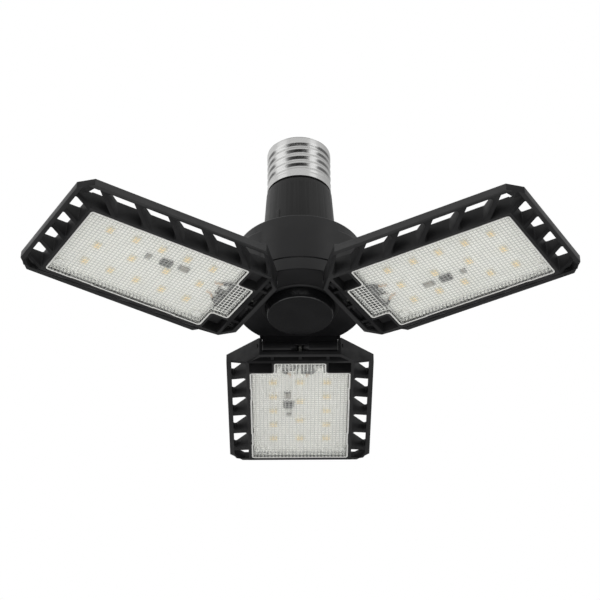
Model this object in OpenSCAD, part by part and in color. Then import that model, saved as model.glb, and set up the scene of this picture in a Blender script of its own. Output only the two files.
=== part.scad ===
// Garage light with a screw base and three LED panels that tilt on hinges under a round hub.
// Origin: centre of the lower edge of the screw shell. +Z points up, towards the lamp socket.
// Each panel is drawn level along +X and then turned to its place round the hub.

/* [Screw base] */
// Radius of the screw shell over its thread
shell_r = 13.15; // [12.8:0.05:13.5]
// Depth of the rolled thread
thread_depth = 0.85; // [0.4:0.05:1]
// Distance from one thread to the next
thread_pitch = 3.629; // [3:0.001:4]
// Number of thread grooves
thread_grooves = 4; // [3:1:5]
// Height of the plain skirt below the thread
skirt_h = 4.88; // [4:0.01:6]
// Thickness of the shell's sheet metal
shell_wall = 0.4; // [0.3:0.05:0.6]
// Radius of the centre contact
contact_r = 4.8; // [4:0.1:5.5]

/* [Neck] */
// Radius of the neck at its top edge
neck_top_r = 13.4; // [13.4:0.1:15]
// Radius of the neck where it stands on the hub
neck_base_r = 15.3; // [14.6:0.05:17]
// Height of the neck from the hub to the screw shell
neck_h = 30.1; // [24:0.1:40]
// Wall of the neck
neck_wall = 1.8; // [1.4:0.1:2.2]
// Width of the upright rib on the neck
neck_rib_w = 1.2; // [0.8:0.1:2]
// How far the rib stands out of the neck
neck_rib_out = 0.35; // [0.2:0.05:0.6]

/* [Hub] */
// Outer radius of the hub
drum_r = 25.7; // [24.5:0.1:32]
// Height of the upper housing, down to the seam
housing_h = 21.2; // [18:0.1:27]
// Height of the lower ring, below the seam
ring_h = 6.1; // [5:0.1:8]
// Wall of the housing and of the ring
drum_wall = 2.2; // [1.6:0.1:3]
// Radius of the rounded upper edge of the housing
drum_round = 0.9; // [0.5:0.1:1.4]
// Radius of the three bosses that stand out of the drum above the hinges
boss_r = 18; // [16:0.5:20]
// How far the bosses stand out of the drum
boss_out = 1.1; // [0.6:0.1:1.4]
// Height of the cap under the hub
cap_h = 4.3; // [3:0.1:6]
// Radius of the cap where it meets the hub
cap_base_r = 14.1; // [13.9:0.1:15.6]
// Radius of the cap's flat face
cap_face_r = 12.8; // [12:0.1:13.4]

/* [Hinges] */
// Distance of the hinge axis inside the outer edge of the hub
hinge_inset = 3.9; // [3.6:0.1:4.2]
// Depth of the hinge axis below the hub
hinge_drop = 4.35; // [4.2:0.05:6]
// Radius of the knuckles on the hub
knuckle_r = 2.6; // [2.4:0.1:2.8]
// Radius of the hinge pins
pin_r = 1.5; // [1:0.05:1.7]
// Running clearance round a pin
pin_gap = 0.05; // [0.02:0.01:0.1]
// Thickness of the spring washers
washer_h = 0.35; // [0.3:0.05:0.5]
// Angle of the back panel above level
back_tilt = 2.0; // [-90:0.1:5]
// Angle of the left panel above level
left_tilt = 2.8; // [-90:0.1:5]
// Angle of the right panel above level
right_tilt = 0.6; // [-90:0.1:5]

/* [Panel frame] */
// Reach of a panel from its hinge axis to the outer face of its rim
panel_reach = 89.5; // [75:0.5:120]
// Width of a panel over its rim
panel_w = 60.4; // [58:0.2:76]
// Half the width of the hinge end
hinge_half = 16.5; // [16:0.1:18]
// Wall of the outer rim along the sides
rim_wall = 1.9; // [1.2:0.1:2.4]
// Wall of the outer rim at the outer end
end_wall = 1.8; // [1:0.1:2.2]
// Height of the outer rim
rim_h = 3.0; // [2:0.1:3.4]
// How far the rim lies above the lower edge of the tray
rim_lift = 4.5; // [4:0.1:4.9]
// Height of the tray that holds the lens
tray_h = 8.0; // [7.6:0.1:8.6]
// Wall of the tray
tray_wall = 1.2; // [1:0.1:1.6]
// Open gap between the tray and the rim along the sides
side_gap = 6.3; // [5:0.1:8]
// Open gap between the tray and the rim at the outer end
end_gap = 5.8; // [5:0.1:8]
// Thickness of the fins
fin_wall = 1.5; // [1:0.1:1.8]
// Thickness of the fins at the outer end
end_fin_wall = 1.9; // [1:0.1:2.2]
// Number of slanted fins on each side
side_fins = 5; // [3:1:7]
// How far a side fin runs outwards on its way from the tray to the rim
fin_slant = 8.1; // [4:0.1:9]
// Number of straight fins at the outer end
end_fins = 5; // [3:1:6]
// Length that the cut corners take from the side
corner_cut_u = 5.1; // [4:0.1:7]
// Length that the cut corners take from the outer end
corner_cut_v = 5.4; // [4:0.1:7]

/* [Lens and board] */
// Distance from the hinge axis to the wide part of the lens
lens_start = 12.4; // [12:0.1:14]
// Distance from the hinge axis to the end of the lens tab
tab_start = 5.1; // [4.9:0.1:5.6]
// Width of the lens tab
tab_w = 21.3; // [16:0.1:22]
// Thickness of the lens plate
lens_plate = 1.8; // [1.2:0.1:2.2]
// Thickness of the skirt round the lens
lens_skirt = 1.0; // [0.8:0.1:1.6]
// Gap between the lens and the tray
lens_gap = 0.15; // [0.05:0.05:0.3]
// How far the lens lies inside the lower edge of the tray
lens_recess = 0.2; // [0:0.1:0.5]
// Thickness of the LED board
board_h = 1.0; // [0.8:0.1:1.4]
// Distance between the rows of LEDs
led_row = 11.1; // [8:0.1:12]
// Length of an LED package
led_l = 3.5; // [2.8:0.1:5]
// Width of an LED package
led_w = 2.8; // [1.6:0.1:3.5]
// Height of an LED package
led_h = 0.7; // [0.5:0.1:1]

/* [Hidden] */
$fn = 96;

black = [0.14, 0.14, 0.15];
nickel = [0.78, 0.77, 0.74];
back_az = 90;
left_az = 210;
right_az = 330;
panel_azimuths = [back_az, left_az, right_az];
part_gap = 0.15;
eps = 0.01;

// Screw base, upwards from the origin
thread_h = thread_grooves * thread_pitch;
shell_top = skirt_h + thread_h + 0.9;
shell_lip_r = shell_r - 2.9;
insulator_top = shell_top + 3.8;
contact_h = 2.6;
seat_r = shell_r - shell_wall - 0.15;
seat_h = 3.6;

// Neck and hub, downwards from the origin
seam_cut = 0.35;
drum_top = -neck_h;
seam_z = drum_top - housing_h;
hub_bottom = seam_z - ring_h;
floor_h = 2.0;
floor_top = hub_bottom + floor_h;
roof_z = drum_top - drum_wall;
neck_foot_h = 4;
neck_foot_in = 10.6;
neck_screw_r = 12.9;
rib_az = 234.2;
rib_top = -17;
collar_h = 0.4;
collar_w = 1.4;
post_ring_r = 9.4;
post_r = 2.4;
screw_r = 1.25;
screw_hole_gap = 0.1;
head_r = 2.2;
head_h = 1.6;

// Driver board on its stand-offs
board_z = floor_top + 4.1;
driver_board_h = 1.6;
driver_board_r = drum_r - drum_wall - 0.8;
standoff_ring_r = driver_board_r - 3.2;
standoff_r = 1.8;
driver_top = board_z + driver_board_h;
wire_r = 0.62;

// Hinge
hinge_u = drum_r - hinge_inset;
hinge_z = hub_bottom - hinge_drop;
knuckle_gap = 0.3;
cheek_wall = 1.1;
cheek_v = hinge_half - cheek_wall;
knuckle_v = cheek_v - washer_h;
cone_start = 1.4;
cone_end = 3.6;
knuckle_web = knuckle_r - 0.5;

// Panel heights
bar_h = 1.65;
tray_bottom = hinge_z - knuckle_r - knuckle_gap - bar_h - 0.05;
tray_top = tray_bottom + tray_h;
rim_bottom = tray_bottom + rim_lift;
rim_top = rim_bottom + rim_h;
hinge_top = hinge_z + 3.7;
hinge_bevel = 0.3;
tab_ceiling = hinge_top - 2.1;
ceiling_z = tray_top - 2.9;
groove_z = tray_top - 1.5;

// Panel lengths along u (out from the hub) and half widths along v (across)
rim_half = panel_w / 2;
rim_in = rim_half - rim_wall;
tray_half = rim_in - side_gap;
rim_end = hinge_u + panel_reach;
tray_end = rim_end - end_wall - end_gap;
hinge_end = hinge_u - 1.9;
cavity_end = hinge_u + knuckle_r + knuckle_gap + 0.05;
shoulder_u = hinge_u + 10.8;
lens_u0 = hinge_u + lens_start;
lens_u1 = tray_end - tray_wall - lens_gap;
lens_half = tray_half - tray_wall - lens_gap;
tab_u = hinge_u + tab_start;
tab_half = tab_w / 2;
lens_face = tray_bottom + lens_recess;
lens_top = ceiling_z - board_h;
fin_first = hinge_u + 14.5;
fin_last = tray_end - 9.9;
fin_pitch = (fin_last - fin_first) / (side_fins - 1);
end_fin_pitch = 2 * (tray_half - 0.4) / (end_fins - 1);
bay_round = 0.7;
gusset_h = 0.7;
lens_round = 1.2;
hook_l = 8.2;
hook_reach = 0.6;
hook_h = 1;
hook_z = lens_face + lens_plate + 0.1;
hook_places = [hinge_u + 28.9, hinge_u + 64.9];

// LED board
board_edge = 0.1;
board_u0 = lens_u0 + board_edge;
board_u1 = lens_u1 - board_edge;
board_half = lens_half - board_edge;
led_first = board_u0 + 11.15;
led_last = board_u1 - 12.15;
core_r = 0.45;
core_v = 1.1;
board_screw_r = 1.2;
board_screw_in = lens_skirt + 2.6;

// ---- helpers -------------------------------------------------------------------------------

function unit(v) = v / norm(v);

// Arc that rounds the corner p between the points a and b
function corner_arc(a, p, b, r, n) =
    let (
        da = unit(a - p),
        db = unit(b - p),
        half = acos(da * db) / 2,
        centre = p + unit(da + db) * r / sin(half),
        from = p + da * r / tan(half) - centre,
        to = p + db * r / tan(half) - centre
    )
    [for (i = [0:n]) centre + r * unit(from * (1 - i / n) + to * (i / n))];

// Polygon with all its corners rounded
function rounded(pts, r, n = 4) =
    let (k = len(pts))
    [for (i = [0:k - 1]) each corner_arc(pts[(i + k - 1) % k], pts[i], pts[(i + 1) % k], r, n)];

function arc(cx, cy, r, a0, a1, n) =
    [for (i = [0:n]) [cx + r * cos(a0 + (a1 - a0) * i / n), cy + r * sin(a0 + (a1 - a0) * i / n)]];

function box_points(x0, x1, y0, y1) = [[x0, y0], [x1, y0], [x1, y1], [x0, y1]];

// Plan outline of the lens with its tab, grown by g all round
function lens_outline(g) = [
    [tab_u - g, -tab_half - g], [lens_u0 - g, -tab_half - g], [lens_u0 - g, -lens_half - g],
    [lens_u1 + g, -lens_half - g], [lens_u1 + g, lens_half + g], [lens_u0 - g, lens_half + g],
    [lens_u0 - g, tab_half + g], [tab_u - g, tab_half + g]
];

// Upright block with the plan outline pts
module block(pts, z0, z1) {
    translate([0, 0, z0])
        linear_extrude(z1 - z0)
            polygon(pts);
}

// Bar along u with the section pts, given as [v, z]
module run_along_u(pts, u0, u1) {
    translate([u0, 0, 0])
        rotate([90, 0, 90])
            linear_extrude(u1 - u0)
                polygon(pts);
}

// Bar across the panel with the section pts, given as [u, z]
module run_along_v(pts, v0, v1) {
    translate([0, v1, 0])
        rotate([90, 0, 0])
            linear_extrude(v1 - v0)
                polygon(pts);
}

// Round bar across the panel from v0 to v1, at u and z
module bar_v(u, z, r, v0, v1) {
    translate([u, v0, z])
        rotate([-90, 0, 0])
            cylinder(h = v1 - v0, r = r);
}

module at_ring(r, count, start) {
    for (i = [0:count - 1]) {
        rotate([0, 0, start + i * 360 / count])
            translate([r, 0, 0])
                children();
    }
}

module place_panel(azimuth, tilt) {
    rotate([0, 0, azimuth])
        translate([hinge_u, 0, hinge_z])
            rotate([0, -tilt, 0])
                translate([-hinge_u, 0, -hinge_z])
                    children();
}

module each_side() {
    children();
    mirror([0, 1, 0]) children();
}

// ---- screw base ----------------------------------------------------------------------------

// Radius of the rolled thread at height z
function thread_r(z) = shell_r - thread_depth * (1 - cos(360 * (z - skirt_h) / thread_pitch)) / 2;

thread_steps = 8 * thread_grooves;
thread_wave = [
    for (i = [0:thread_steps])
        let (z = skirt_h + thread_h * i / thread_steps) [thread_r(z), z]
];

module screw_shell() {
    outside = concat([[shell_r, 0]], thread_wave, [[shell_r - 0.5, shell_top]]);
    inside = [for (i = [len(thread_wave) - 1:-1:0]) thread_wave[i] - [shell_wall, 0]];
    lip = [[shell_lip_r, shell_top], [shell_lip_r, shell_top - shell_wall],
           [shell_r - 0.9, shell_top - shell_wall]];
    color(nickel)
        rotate_extrude()
            polygon(concat(outside, lip, inside, [[shell_r - shell_wall, 0]]));
}

module base_insulator() {
    spigot_r = shell_lip_r - part_gap;
    color("#2a2a2e")
        rotate_extrude()
            polygon([
                [0, shell_top - 2.6], [spigot_r, shell_top - 2.6], [spigot_r, shell_top],
                [shell_lip_r + 1, shell_top], [shell_lip_r + 0.6, shell_top + 0.9],
                [contact_r + 0.9, insulator_top - 0.4], [contact_r + 0.5, insulator_top],
                [0, insulator_top]
            ]);
}

module centre_contact() {
    dome = arc(0, insulator_top + contact_h - 5.6, 5.6, 55, 90, 6);
    color("#b9b6ae")
        rotate_extrude()
            polygon(concat([[0, insulator_top], [contact_r, insulator_top],
                            [contact_r, insulator_top + 1]], dome));
}

// ---- neck ----------------------------------------------------------------------------------

module neck_collar() {
    color(black)
        difference() {
            union() {
                rotate_extrude()
                    polygon([
                        [neck_top_r - neck_wall - 1.4, drum_top + neck_foot_h + 2],
                        [neck_foot_in, drum_top + neck_foot_h], [neck_foot_in, drum_top],
                        [neck_base_r, drum_top], [neck_top_r, -0.9], [neck_top_r - 0.4, -0.6],
                        [neck_top_r - 0.4, 0],
                        [seat_r, 0], [seat_r, seat_h - 0.5], [seat_r - 0.5, seat_h],
                        [seat_r - 1.4, seat_h], [seat_r - 1.4, -2], [neck_top_r - neck_wall, -5]
                    ]);
                // the rib follows the slope of the neck
                intersection() {
                    difference() {
                        translate([0, 0, drum_top])
                            cylinder(h = -0.9 - drum_top, r1 = neck_base_r + neck_rib_out,
                                     r2 = neck_top_r + neck_rib_out, $fn = 180);
                        translate([0, 0, drum_top - 1])
                            cylinder(h = -drum_top + 2, r = neck_top_r - neck_wall / 2, $fn = 180);
                    }
                    rotate([0, 0, rib_az])
                        translate([0, -neck_rib_w / 2, drum_top])
                            cube([neck_base_r + 2, neck_rib_w, rib_top - drum_top]);
                }
            }
            at_ring(neck_screw_r, 3, 30)
                translate([0, 0, drum_top - 1])
                    cylinder(h = 4.4, r = screw_r + screw_hole_gap, $fn = 32);
        }
}

module screw(shank) {
    cylinder(h = shank + head_h, r = screw_r, $fn = 32);
    cylinder(h = head_h, r = head_r, $fn = 32);
}

module neck_screws() {
    color("silver")
        at_ring(neck_screw_r, 3, 30)
            translate([0, 0, roof_z - head_h])
                screw(drum_wall + 2.6);
}

// ---- hub -----------------------------------------------------------------------------------

module hub_housing() {
    wall_in = drum_r - drum_wall;
    boss_base = seam_z + seam_cut + 0.2;
    boss_top = drum_top - 4;
    color(black)
        difference() {
            union() {
                rotate_extrude()
                    polygon(concat(
                        [[7, roof_z], [wall_in - 1.2, roof_z], [wall_in, roof_z - 1.2],
                         [wall_in, seam_z], [drum_r - seam_cut, seam_z],
                         [drum_r, seam_z + seam_cut]],
                        arc(drum_r - drum_round, drum_top - drum_round, drum_round, 0, 90, 6),
                        [[7, drum_top]]
                    ));
                // bosses above the hinges, which run out into the round of the drum
                difference() {
                    for (azimuth = panel_azimuths) {
                        rotate([0, 0, azimuth])
                            translate([drum_r + boss_out - boss_r, 0, 0])
                                rotate_extrude()
                                    polygon(concat(
                                        [[0, boss_top], [0, boss_base], [boss_r, boss_base]],
                                        arc(boss_r - 1, boss_top - 1, 1, 0, 90, 6)
                                    ));
                    }
                    translate([0, 0, boss_base - 1])
                        cylinder(h = boss_top - boss_base + 2, r = drum_r - drum_wall / 2, $fn = 180);
                }
                at_ring(post_ring_r, 3, 90)
                    translate([0, 0, floor_top])
                        cylinder(h = roof_z - floor_top + eps, r = post_r, $fn = 48);
            }
            at_ring(post_ring_r, 3, 90)
                translate([0, 0, floor_top - 1])
                    cylinder(h = 9, r = screw_r + screw_hole_gap, $fn = 32);
            at_ring(neck_screw_r, 3, 30)
                translate([0, 0, roof_z - 1])
                    cylinder(h = drum_wall + 2, r = screw_r + screw_hole_gap, $fn = 32);
        }
}

// The two hinge knuckles of one panel, with the gap for its lead wire between them
module knuckle_pair() {
    each_side()
        difference() {
            union() {
                bar_v(hinge_u, hinge_z, knuckle_r, cone_end, knuckle_v);
                translate([hinge_u, cone_start, hinge_z])
                    rotate([-90, 0, 0])
                        cylinder(h = cone_end - cone_start, r1 = 1, r2 = knuckle_r);
                translate([hinge_u - knuckle_web, cone_end, hinge_z])
                    cube([2 * knuckle_web, knuckle_v - cone_end, hinge_drop + eps]);
                // joins the block to the ring where it stands out past it
                intersection() {
                    translate([hinge_u - knuckle_web, cone_end, hub_bottom - eps])
                        cube([2 * knuckle_web, knuckle_v - cone_end, 1]);
                    translate([0, 0, hub_bottom - 1])
                        cylinder(h = 3, r = drum_r - 0.3, $fn = 180);
                }
            }
            bar_v(hinge_u, hinge_z, pin_r + pin_gap, cone_end + 0.4, knuckle_v + 1);
        }
    // screens on both sides of the lead wire
    block(box_points(hinge_u + 1.1, hinge_u + 2, -cone_end - eps, cone_end + eps),
          hinge_z + 1.5, hub_bottom + 0.5);
    block(box_points(hinge_u - knuckle_web, hinge_u - 1.1, -cone_end - eps, cone_end + eps),
          hinge_z + 0.3, hub_bottom + 0.5);
}

module hub_base() {
    wall_in = drum_r - drum_wall;
    color(black)
        difference() {
            union() {
                rotate_extrude()
                    polygon([
                        [0, hub_bottom], [cap_base_r + part_gap, hub_bottom],
                        [cap_base_r + part_gap, hub_bottom - collar_h],
                        [cap_base_r + collar_w - 0.5, hub_bottom - collar_h],
                        [cap_base_r + collar_w, hub_bottom],
                        [drum_r - 0.2, hub_bottom], [drum_r, hub_bottom + 0.3],
                        [drum_r, seam_z - seam_cut], [drum_r - seam_cut, seam_z],
                        [wall_in, seam_z], [wall_in, floor_top], [0, floor_top]
                    ]);
                for (azimuth = panel_azimuths) {
                    rotate([0, 0, azimuth])
                        knuckle_pair();
                }
                at_ring(standoff_ring_r, 3, 30)
                    translate([0, 0, floor_top - eps])
                        cylinder(h = board_z - floor_top + eps, r = standoff_r, $fn = 48);
            }
            at_ring(post_ring_r, 3, 90)
                translate([0, 0, hub_bottom - 1]) {
                    cylinder(h = floor_h + 2, r = screw_r + screw_hole_gap, $fn = 32);
                    cylinder(h = 1 + 0.6, r = head_r + 0.2, $fn = 32);
                }
            at_ring(hinge_u, 3, 90)
                translate([0, 0, hub_bottom - 1])
                    cylinder(h = floor_h + 2, r = wire_r + 0.35, $fn = 32);
        }
}

module hub_screws() {
    color("silver")
        at_ring(post_ring_r, 3, 90)
            translate([0, 0, hub_bottom + 0.6 - head_h])
                screw(8);
}

module hub_cap() {
    face_z = hub_bottom - cap_h;
    wall = 1.5;
    color([0.17, 0.17, 0.18])
        rotate_extrude()
            polygon(concat(
                [[0, face_z]],
                arc(cap_face_r - 0.1, face_z + 0.5, 0.5, -90, -20, 4),
                [[cap_base_r - 0.1, hub_bottom - 0.5], [cap_base_r - 0.1, hub_bottom],
                 [cap_base_r - wall - 0.3, hub_bottom], [cap_face_r - wall, face_z + wall],
                 [0, face_z + wall]]
            ));
}

// ---- driver --------------------------------------------------------------------------------

module driver_board() {
    color("#2f6b3c")
        difference() {
            translate([0, 0, board_z])
                cylinder(h = driver_board_h, r = driver_board_r);
            at_ring(post_ring_r, 3, 90)
                translate([0, 0, board_z - 1])
                    cylinder(h = driver_board_h + 2, r = post_r + 0.3, $fn = 48);
        }
}

// A round can that stands on the board, with the pressed groove near its foot
module can(x, y, r, h) {
    translate([x, y, driver_top])
        rotate_extrude($fn = 48)
            polygon([[0, 0], [r, 0], [r, 0.8], [r - 0.25, 1.2], [r, 1.6], [r, h - 0.4],
                     [r - 0.4, h], [0, h]]);
}

module driver_parts() {
    color("#30333b") {
        can(-15, 3, 3.6, 10.5);
        can(15, 3, 2.8, 8);
    }
    color("#b8862c")
        translate([0, -14.2, driver_top])
            rotate_extrude($fn = 64)
                polygon([[2.2, 0], [4.6, 0], [5.2, 0.6], [5.2, 4.4], [4.6, 5], [2.2, 5],
                         [1.7, 4.4], [1.7, 0.6]]);
    color("#a8321f")
        block(rounded(box_points(-5.5, 5.5, -4, 2), 1), driver_top, driver_top + 7);
    color("#222222") {
        block(box_points(-2.6, 2.6, 15.2, 19.6), driver_top, driver_top + 2.4);
        block(box_points(12, 15, -12, -6), driver_top, driver_top + 4);
    }
}

// One lead runs up to the centre contact, the other one turns over the neck to the shell
module base_leads() {
    lead_x = 3.5;
    lead_y = 4;
    turn_z = seat_h + wire_r + 0.1;
    shell_in = sqrt(pow(shell_r - shell_wall, 2) - pow(lead_y + wire_r, 2));
    color("#d8d8d0") {
        translate([lead_x, lead_y, driver_top])
            cylinder(h = shell_top - 2.6 - driver_top, r = wire_r, $fn = 32);
        translate([-lead_x, lead_y, driver_top])
            cylinder(h = turn_z - driver_top, r = wire_r, $fn = 32);
        translate([-lead_x, lead_y, turn_z])
            sphere(r = wire_r, $fn = 32);
        translate([-lead_x, lead_y, turn_z])
            rotate([0, -90, 0])
                cylinder(h = shell_in - lead_x - 0.1, r = wire_r, $fn = 32);
    }
}

// Stretch of each panel's lead from the driver board down into the gap between the knuckles
module hub_leads() {
    lead_start = hinge_z + wire_r + 0.3;
    color("#d8d8d0")
        at_ring(hinge_u, 3, 90)
            translate([0, 0, lead_start])
                cylinder(h = board_z - lead_start, r = wire_r, $fn = 32);
}

// ---- panel frame ---------------------------------------------------------------------------

// u of the shoulder's inner face at the half width v
shoulder_slope = (shoulder_u - hinge_end) / (rim_half - hinge_half);
shoulder_wall_u = 1.2 * norm([shoulder_slope, 1]);
function shoulder_in(v) = hinge_end + (v - hinge_half) * shoulder_slope + shoulder_wall_u;

// Plan outline of the whole frame
frame_outline = [
    [hinge_end, -hinge_half], [shoulder_u, -rim_half], [rim_end - corner_cut_u, -rim_half],
    [rim_end, corner_cut_v - rim_half], [rim_end, rim_half - corner_cut_v],
    [rim_end - corner_cut_u, rim_half], [shoulder_u, rim_half], [hinge_end, hinge_half]
];

// Section across the panel: deep at the tray, shallow and raised at the rim
cross_section = [
    [-rim_half, rim_bottom], [-rim_in, rim_bottom], [-tray_half, tray_bottom],
    [tray_half, tray_bottom], [rim_in, rim_bottom], [rim_half, rim_bottom],
    [rim_half, hinge_top], [-rim_half, hinge_top]
];

// Section along the panel: low under the hub, deep at the tray, raised at the outer rim
long_section = [
    [hinge_end, tray_bottom], [tray_end, tray_bottom], [rim_end - end_wall, rim_bottom],
    [rim_end, rim_bottom], [rim_end, rim_top], [shoulder_u + 2, rim_top], [shoulder_u, hinge_top],
    [hinge_end + hinge_bevel, hinge_top], [hinge_end, hinge_top - hinge_bevel]
];

// Section of the tray, which stands a little higher than the rim
tray_section = [
    [shoulder_u, hinge_top - 2], [tray_end, hinge_top - 2], [tray_end, tray_top - 0.3],
    [tray_end - 0.3, tray_top], [shoulder_u + 2, tray_top], [shoulder_u, hinge_top]
];

// Open bay between two slanted side fins, or between a fin and what lies next to it
function side_bay(k) =
    let (
        t = fin_wall / 2 * norm([fin_slant / side_gap, 1]),
        u0 = fin_first + k * fin_pitch + t,
        u1 = fin_first + (k + 1) * fin_pitch - t
    )
    [[u0, tray_half], [u1, tray_half], [u1 + fin_slant, rim_in], [u0 + fin_slant, rim_in]];

function shoulder_bay() =
    let (t = fin_wall / 2 * norm([fin_slant / side_gap, 1]))
    [[shoulder_in(tray_half), tray_half], [fin_first - t, tray_half],
     [fin_first - t + fin_slant, rim_in], [shoulder_in(rim_in), rim_in]];

// Bay at the cut corner, between the last side fin and the first end fin
function corner_bay() =
    let (
        t = fin_wall / 2 * norm([fin_slant / side_gap, 1]),
        cut = norm([corner_cut_u, corner_cut_v]),
        cut_u = rim_end - corner_cut_u - rim_wall * (cut - corner_cut_u) / corner_cut_v,
        cut_v = rim_half - corner_cut_v - (rim_wall * cut - end_wall * corner_cut_v) / corner_cut_u
    )
    [[fin_last + t, tray_half], [tray_end, tray_half], [tray_end, tray_half + 0.15],
     [rim_end - end_wall, tray_half + 0.15], [rim_end - end_wall, cut_v], [cut_u, rim_in],
     [fin_last + t + fin_slant, rim_in]];

module bays() {
    z0 = tray_bottom - 1;
    z1 = tray_top + 1;
    each_side() {
        for (k = [0:side_fins - 2]) {
            block(rounded(side_bay(k), bay_round), z0, z1);
        }
        block(rounded(shoulder_bay(), bay_round), z0, z1);
        difference() {
            block(corner_bay(), z0, z1);
            // gusset across the cut corner
            block(box_points(tray_end - 1.2, rim_end, rim_half - 4.6, rim_half), rim_top - gusset_h, z1 + 1);
        }
    }
    for (j = [0:end_fins - 2]) {
        v0 = -(tray_half - 0.4) + j * end_fin_pitch;
        block(rounded(box_points(tray_end, rim_end - end_wall,
                                 v0 + end_fin_wall / 2, v0 + end_fin_pitch - end_fin_wall / 2), bay_round),
              z0, z1);
    }
}

// Everything between the hub and the lens: hinge cavity, pockets and slots in the end bar
module hinge_end_cuts() {
    slot_u0 = hinge_end + 1.7;
    slot_u1 = tab_u - 2.1;
    rib_v = tab_half + 0.65;
    shoulder_v = hinge_half + (slot_u1 - hinge_end - shoulder_wall_u) / shoulder_slope;
    pocket_top = tray_bottom + 4.5;
    // space for the knuckles
    block(box_points(hinge_end - 1, cavity_end, -cheek_v, cheek_v), tray_bottom + bar_h, hinge_top + 1);
    each_side() {
        // slots through the floor of the hinge end, and the shallow step that frees their ribs
        block(box_points(slot_u0, slot_u1, 0.65, rib_v - 0.65), tray_bottom - 1, hinge_z);
        block([[slot_u0, rib_v + 0.65], [slot_u1, rib_v + 0.65],
               [slot_u1, shoulder_v], [slot_u0, hinge_half - 0.4]],
              tray_bottom - 1, tray_bottom + bar_h + eps);
        block([[slot_u0, -eps], [slot_u1, -eps], [slot_u1, shoulder_v], [slot_u0, hinge_half - 0.4]],
              tray_bottom - 1, tray_bottom + 0.7);
        // hollow between the cheek and the shoulder
        block([[shoulder_in(hinge_half), hinge_half], [cavity_end, hinge_half],
               [cavity_end, hinge_half + (cavity_end - shoulder_in(hinge_half)) / shoulder_slope]],
              tray_bottom + bar_h, hinge_top + 1);
        // blind pocket beside the lens tab
        block(rounded(box_points(tab_u - 0.7, lens_u0 - lens_gap - 0.8,
                                 tab_half + lens_gap + 0.7, tray_half - tray_wall), 0.4),
              tray_bottom - 1, pocket_top);
        bar_v(hinge_u, hinge_z, pin_r + 0.03, cheek_v - 1, hinge_half + 1);
    }
    // hole for the lead wire
    translate([cavity_end - 1, 0, hinge_z])
        rotate([0, 90, 0])
            cylinder(h = tab_u - cavity_end + 2, r = wire_r + 0.3, $fn = 32);
}

// Cooling grooves along the back of the tray
module back_grooves() {
    count = 9;
    pitch = 2 * (tray_half - 2.4) / count;
    groove_r = pitch / 2 - 0.6;
    for (k = [0:count - 1]) {
        v = (k - (count - 1) / 2) * pitch;
        translate([0, v, groove_z])
            linear_extrude(tray_top - groove_z + 1) {
                translate([lens_u0 + 4, -groove_r]) square([tray_end - lens_u0 - 8.5, 2 * groove_r]);
                translate([lens_u0 + 4, 0]) circle(r = groove_r, $fn = 32);
                translate([tray_end - 4.5, 0]) circle(r = groove_r, $fn = 32);
            }
    }
}

// The four hooks of the tray that snap into the windows of the lens skirt
module lens_hooks(length, v0, v1, z0, z1) {
    each_side() {
        for (u = hook_places) {
            block(box_points(u - length / 2, u + length / 2, v0, v1), z0, z1);
        }
    }
}

module frame() {
    color(black)
        difference() {
            union() {
                intersection() {
                    block(frame_outline, tray_bottom - 1, hinge_top + 1);
                    run_along_u(cross_section, hinge_end - 1, rim_end + 1);
                    run_along_v(long_section, -rim_half - 1, rim_half + 1);
                }
                run_along_v(tray_section, -tray_half, tray_half);
            }
            bays();
            hinge_end_cuts();
            back_grooves();
            difference() {
                union() {
                    block(rounded(lens_outline(lens_gap), lens_round), tray_bottom - 1, ceiling_z);
                    block(box_points(tab_u - lens_gap, lens_u0 + lens_gap,
                                     -tab_half - lens_gap, tab_half + lens_gap),
                          ceiling_z - eps, tab_ceiling);
                }
                lens_hooks(hook_l, lens_half - hook_reach, lens_half + 1, hook_z, hook_z + hook_h);
            }
            board_screw_places()
                translate([0, 0, ceiling_z - 1])
                    cylinder(h = 2.2, r = board_screw_r + 0.05, $fn = 32);
        }
}

// ---- panel inside --------------------------------------------------------------------------

module lens() {
    color([0.9, 0.92, 0.92, 0.55])
        difference() {
            block(rounded(lens_outline(0), lens_round), lens_face, lens_top);
            block(lens_outline(-lens_skirt), lens_face + lens_plate, lens_top + 1);
            // notch under the lead wire
            translate([tab_u - 1, 0, hinge_z])
                rotate([0, 90, 0])
                    cylinder(h = lens_skirt + 2, r = wire_r + 0.3, $fn = 32);
            // windows for the hooks of the tray
            lens_hooks(hook_l + 0.2, lens_half - lens_skirt - 1, lens_half + 1,
                       hook_z - 0.1, hook_z + hook_h);
        }
}

module board_screw_places() {
    for (u = [board_u0 + board_screw_in, board_u1 - board_screw_in]) {
        for (v = [-1, 1]) {
            translate([u, v * (board_half - board_screw_in), 0])
                children();
        }
    }
}

module led_board() {
    color("#f2f2ee")
        difference() {
            block(rounded(box_points(board_u0, board_u1, -board_half, board_half), lens_round),
                  lens_top, ceiling_z);
            board_screw_places()
                translate([0, 0, lens_top - 1])
                    cylinder(h = board_h + 2, r = board_screw_r + 0.1, $fn = 32);
        }
}

// One LED package: a body with the shallow well for its phosphor
module led() {
    difference() {
        translate([-led_w / 2, -led_l / 2, -led_h])
            cube([led_w, led_l, led_h]);
        translate([-led_w / 2 + 0.4, -led_l / 2 + 0.5, -led_h - 1])
            cube([led_w - 0.8, led_l - 1, 1.2]);
    }
}

module leds() {
    color("#f4e7a8")
        translate([0, 0, lens_top]) {
            for (i = [0:4]) {
                for (v = [-led_row, led_row]) {
                    translate([led_first + i * (led_last - led_first) / 4, v, 0]) led();
                }
            }
            for (i = [0:3]) {
                translate([led_first + i * (led_last - led_first) / 3, 0, 0]) led();
            }
        }
}

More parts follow.
